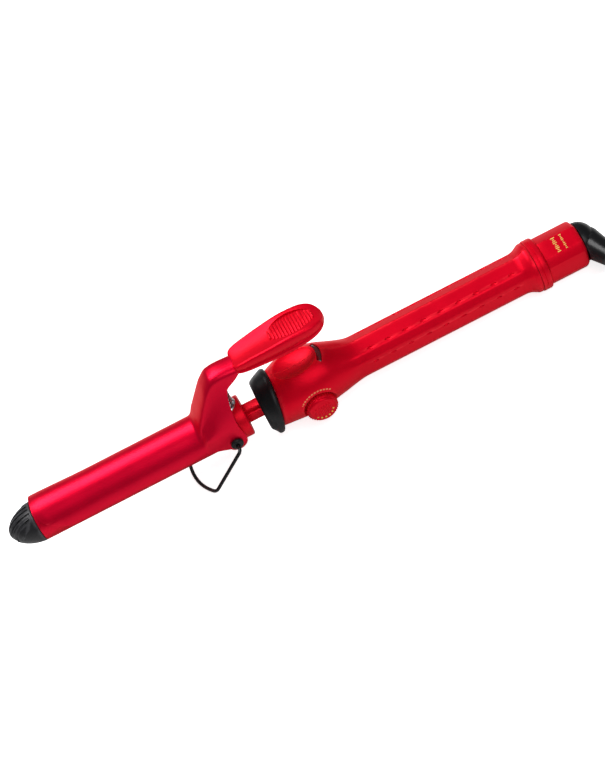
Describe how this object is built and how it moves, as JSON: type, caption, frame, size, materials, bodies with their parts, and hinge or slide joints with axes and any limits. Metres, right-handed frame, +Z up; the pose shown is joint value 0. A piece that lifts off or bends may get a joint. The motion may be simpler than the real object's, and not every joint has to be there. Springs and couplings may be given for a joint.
{
  "type": "curling iron",
  "caption": "Spring-clip curling iron with a wire rest, temperature dial, heat guard and swivel mains cord.",
  "frame": {"origin": "middle of the iron's footprint, without the cord, at the level of the table that it rests on", "axes": "+X from the cool tip to the cord, +Z up through the clip's thumb rest, -Y towards the temperature dial"},
  "size_m": [0.5106, 0.1133, 0.0717],
  "materials": {
    "tip_plastic": "dark grey heat-proof plastic, satin, grooved finger facet",
    "barrel_enamel": "crimson metallic enamel, satin gloss",
    "handle_plastic": "bright red plastic, satin",
    "black_plastic": "black, satin",
    "black_wire": "black-coated steel wire",
    "steel": "bright steel",
    "heater_aluminium": "extruded aluminium",
    "ceramic": "off-white ceramic",
    "board": "green circuit board",
    "lens": "dark red clear plastic",
    "lead_sleeve": "woven glass sleeve",
    "cord_rubber": "black flexible cord jacket, matt",
    "tie_strap": "black strap",
    "pin_metal": "nickel-plated brass"
  },
  "bodies": {
    "root": {"tip_cap": "tip_plastic", "barrel_tube": "barrel_enamel", "heater_core_upper": "heater_aluminium", "heater_core_lower": "heater_aluminium", "heater_plate": "ceramic", "thermal_fuse": "ceramic", "hinge_saddle": "steel", "hinge_cap_left": "black_plastic", "hinge_cap_right": "black_plastic", "clip_spring": "steel", "barrel_flange": "handle_plastic", "neck_spine": "handle_plastic", "heat_guard": "black_plastic", "handle_shell_left": "handle_plastic", "handle_shell_right": "handle_plastic", "case_screw_front": "steel", "case_screw_middle": "steel", "case_screw_rear": "steel", "circuit_board": "board", "rotary_control": "black_plastic", "indicator_lamp": "ceramic", "indicator_lens": "lens", "heater_lead_a": "lead_sleeve", "heater_lead_b": "lead_sleeve", "mains_lead_a": "cord_rubber", "mains_lead_b": "cord_rubber", "rear_ring": "handle_plastic", "end_cap": "handle_plastic", "swivel_contacts": "ceramic", "cord_lead": "cord_rubber", "cord_coil": "cord_rubber", "cord_tail": "cord_rubber", "cord_tie": "tie_strap", "plug_body": "black_plastic", "plug_pin_a": "pin_metal", "plug_pin_b": "pin_metal"},
    "clip": {"clip_blade": "barrel_enamel", "thumb_rest": "handle_plastic", "thumb_rest_screw": "steel"},
    "stand": {"wire_stand": "black_wire"},
    "dial": {"temperature_dial": "handle_plastic"},
    "swivel": {"cord_elbow": "cord_rubber"}
  },
  "joints": [
    {"name": "clip_hinge", "type": "hinge", "parent": "root", "child": "clip", "pos_m": [-0.04495, 0, 0.02143], "axis": [0, 1, 0], "range_deg": [0, 18], "stiffness_Nm_per_rad": 0.8, "springref_deg": -20.05, "deforming": ["clip_spring"]},
    {"name": "stand_hinge", "type": "hinge", "parent": "root", "child": "stand", "pos_m": [-0.04495, 0, 0.02143], "axis": [0, -1, 0], "range_deg": [-13, 72]},
    {"name": "dial_turn", "type": "hinge", "parent": "root", "child": "dial", "pos_m": [0.00913, -0.0152, 0.01731], "axis": [0, -1, 0], "range_deg": [0, 270]},
    {"name": "cord_swivel", "type": "hinge", "parent": "root", "child": "swivel", "pos_m": [0.18936, 0, 0.01493], "axis": [0.9994, 0, -0.0354], "range_deg": [-40, 40]}
  ]
}
